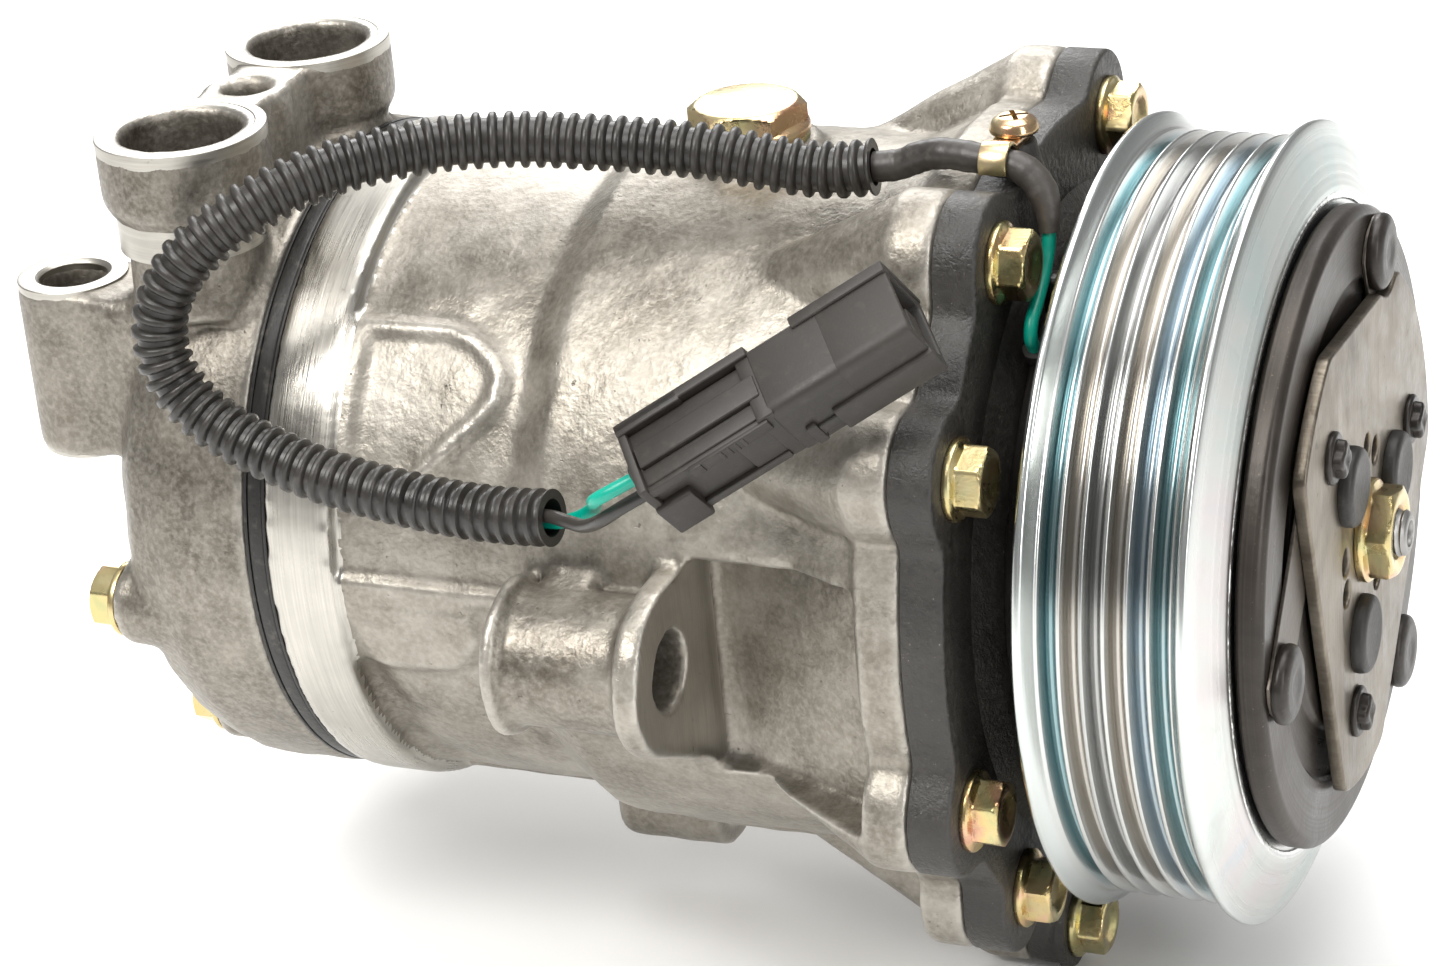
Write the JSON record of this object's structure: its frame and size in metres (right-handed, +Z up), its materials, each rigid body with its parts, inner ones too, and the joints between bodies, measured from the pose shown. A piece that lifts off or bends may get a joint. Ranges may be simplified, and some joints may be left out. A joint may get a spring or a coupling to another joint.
{
  "type": "electromagnetic clutch compressor",
  "caption": "Belt-driven refrigerant compressor with an electromagnetic clutch: ribbed pulley, armature on leaf springs, coil with its lead in conduit, cast body with mounting ears and ports.",
  "frame": {"origin": "on the shaft axis, in the plane of the side mounting ear's machined front face", "axes": "+X along the shaft towards the clutch nut, +Z up along the port bores, -Y towards the side mounting ear"},
  "size_m": [0.2328, 0.163, 0.157],
  "materials": {
    "cast_aluminium": "satin cast",
    "black_housing": "speckled satin",
    "yellow_zinc": "yellow zinc",
    "clear_zinc": "clear zinc",
    "black_steel": "semi-gloss",
    "bright_steel": "ground",
    "dull_steel": "phosphated",
    "black_rubber": "matte",
    "copper_coil": "potted",
    "black_plastic": "satin",
    "brown_plastic": "matte",
    "green_wire": "gloss",
    "black_wire": "gloss",
    "brass": "satin"
  },
  "bodies": {
    "housing": {"crankcase_housing": "cast_aluminium", "rear_head": "cast_aluminium", "front_housing": "black_housing", "front_housing_bolts": "yellow_zinc", "head_bolts": "yellow_zinc", "oil_plug": "yellow_zinc", "case_o_ring": "black_rubber", "head_gaskets": "black_rubber", "valve_plate": "black_steel", "discharge_reeds": "bright_steel", "suction_reeds": "bright_steel", "oil_plug_washer": "brass", "pistons": "bright_steel", "piston_rings": "dull_steel", "connecting_rods": "bright_steel", "radial_bearing": "bright_steel", "thrust_race": "bright_steel", "shaft_seal": "black_rubber", "seal_snap_ring": "dull_steel", "coil_housing": "black_steel", "coil_winding": "copper_coil", "coil_snap_ring": "dull_steel", "lead_grommet": "black_rubber", "lead_clamp": "brass", "clamp_screw": "brass", "bearing_inner_race": "bright_steel", "bearing_snap_ring": "dull_steel", "lead_sleeve": "black_plastic", "lead_wire": "green_wire", "conduit": "black_plastic", "wire_green": "green_wire", "wire_black": "black_wire", "connector_body": "brown_plastic", "connector_lock": "brown_plastic", "connector_seal": "black_rubber"},
    "pulley_body": {"pulley": "clear_zinc", "bearing_outer_race": "bright_steel", "bearing_seals": "black_rubber", "pulley_snap_ring": "dull_steel"},
    "ball_set": {"bearing_balls": "bright_steel"},
    "shaft_body": {"shaft": "bright_steel", "shaft_key": "bright_steel", "cam_rotor": "dull_steel", "hub_plate": "dull_steel", "hub_nut": "yellow_zinc", "air_gap_shims": "bright_steel", "hub_stoppers": "black_rubber", "hub_rivets": "black_steel", "leaf_springs": "dull_steel"},
    "armature": {"armature_plate": "black_steel", "armature_rivets": "black_steel"},
    "planet": {"planet_plate": "dull_steel"}
  },
  "joints": [
    {"name": "pulley_spin", "type": "hinge", "parent": "housing", "child": "pulley_body", "pos_m": [0.07, 0, 0], "axis": [1, 0, 0], "continuous": true},
    {"name": "ball_roll", "type": "hinge", "parent": "housing", "child": "ball_set", "pos_m": [0.072, 0, 0], "axis": [1, 0, 0], "continuous": true},
    {"name": "shaft_spin", "type": "hinge", "parent": "housing", "child": "shaft_body", "pos_m": [0.08, 0, 0], "axis": [1, 0, 0], "continuous": true},
    {"name": "armature_pull", "type": "slide", "parent": "shaft_body", "child": "armature", "axis": [-1, 0, 0], "range_m": [0, 0.00048], "deforming": ["leaf_springs"]},
    {"name": "planet_nutation", "type": "hinge", "parent": "shaft_body", "child": "planet", "pos_m": [0.008, 0, 0], "axis": [0.9511, 0, -0.309], "continuous": true}
  ],
  "couplings": [
    {"joint": "ball_roll", "follows": "pulley_spin", "ratio": 0.555},
    {"joint": "planet_nutation", "follows": "shaft_spin", "ratio": -1}
  ]
}
